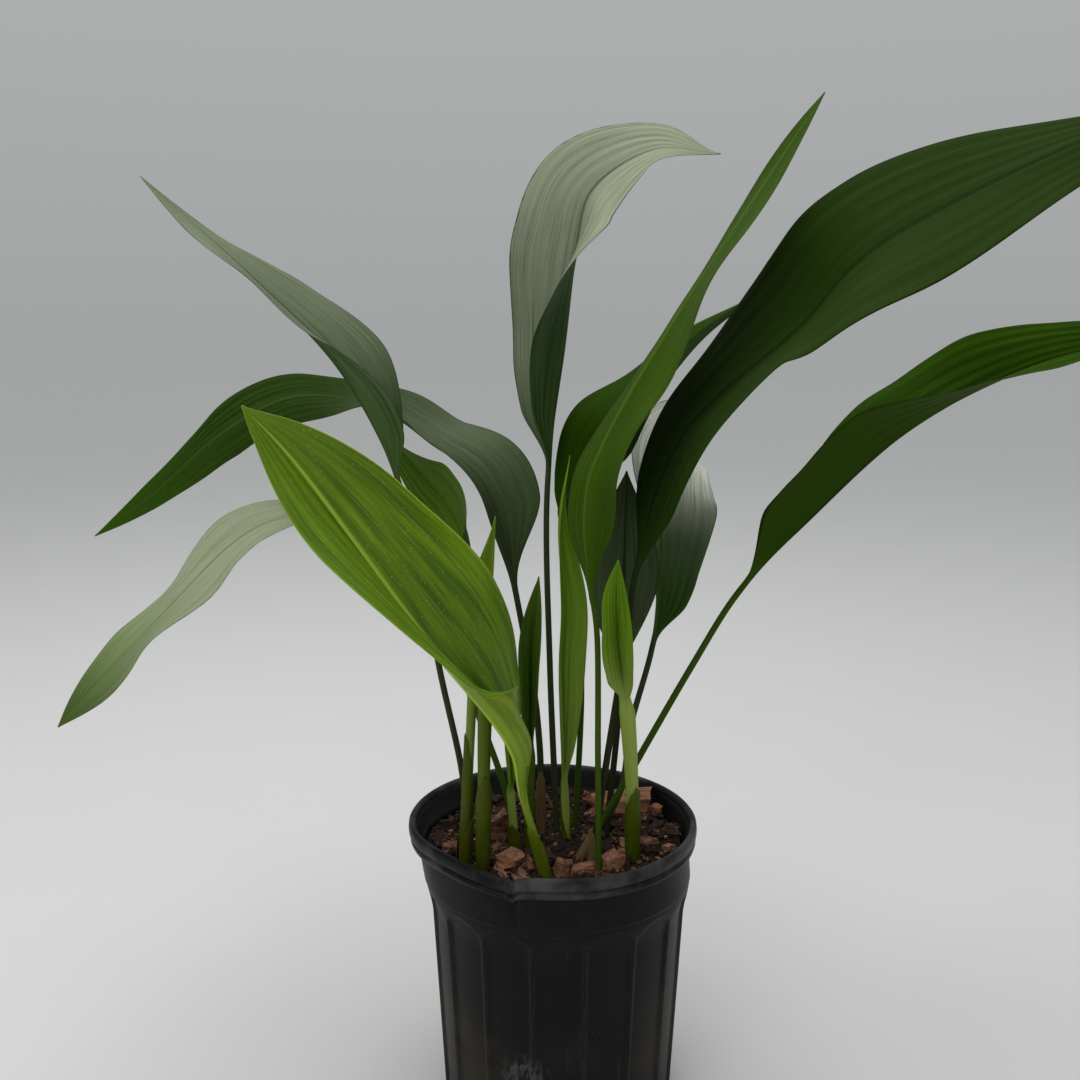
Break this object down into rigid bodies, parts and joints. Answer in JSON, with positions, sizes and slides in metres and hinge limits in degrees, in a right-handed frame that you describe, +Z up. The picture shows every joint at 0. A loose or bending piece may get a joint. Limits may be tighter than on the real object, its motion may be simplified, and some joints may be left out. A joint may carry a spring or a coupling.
{
  "type": "potted cast iron plant",
  "caption": "Cast iron plant with long, arching, ribbed strap leaves on slim stalks, in a round fluted black plastic nursery pot filled with bark mix.",
  "frame": {"origin": "centre of the pot's flat underside", "axes": "+Z up along the pot's axis; -Y is the front, where the yellow-green front leaf leans out"},
  "size_m": [0.7187, 0.3333, 0.6565],
  "materials": {
    "pot_plastic": "satin",
    "bark_mix": "matte",
    "rhizome_skin": "matte",
    "leaf_dark": "satin",
    "leaf_fresh": "satin",
    "leaf_young": "satin",
    "leaf_olive": "satin",
    "sheath_olive": "satin",
    "sheath_dry": "matte"
  },
  "bodies": {
    "root": {"pot": "pot_plastic", "potting_mix": "bark_mix", "rhizome": "rhizome_skin", "leaf_front_left": "leaf_young", "leaf_high_left": "leaf_dark", "leaf_arching_left": "leaf_dark", "leaf_drooping_left": "leaf_fresh", "leaf_tall_centre": "leaf_dark", "leaf_tall_right": "leaf_fresh", "leaf_inner_right": "leaf_dark", "leaf_broad_right": "leaf_dark", "leaf_long_right": "leaf_fresh", "leaf_round_right": "leaf_dark", "leaf_upright_right": "leaf_dark", "leaf_behind_left": "leaf_fresh", "young_leaf_left": "leaf_young", "young_leaf_olive": "leaf_olive", "young_leaf_centre": "leaf_young", "young_leaf_right": "leaf_young", "young_shoot_left": "leaf_young", "sheath_front_left": "sheath_olive", "sheath_left_tall": "sheath_olive", "sheath_left_short": "sheath_olive", "sheath_left_second": "sheath_olive", "sheath_olive_leaf": "sheath_olive", "sheath_young_shoot": "sheath_olive", "sheath_centre": "sheath_olive", "sheath_right": "sheath_olive", "dry_sheath_centre": "sheath_dry", "dry_sheath_right": "sheath_dry", "dry_sheath_long": "sheath_dry"}
  },
  "joints": []
}
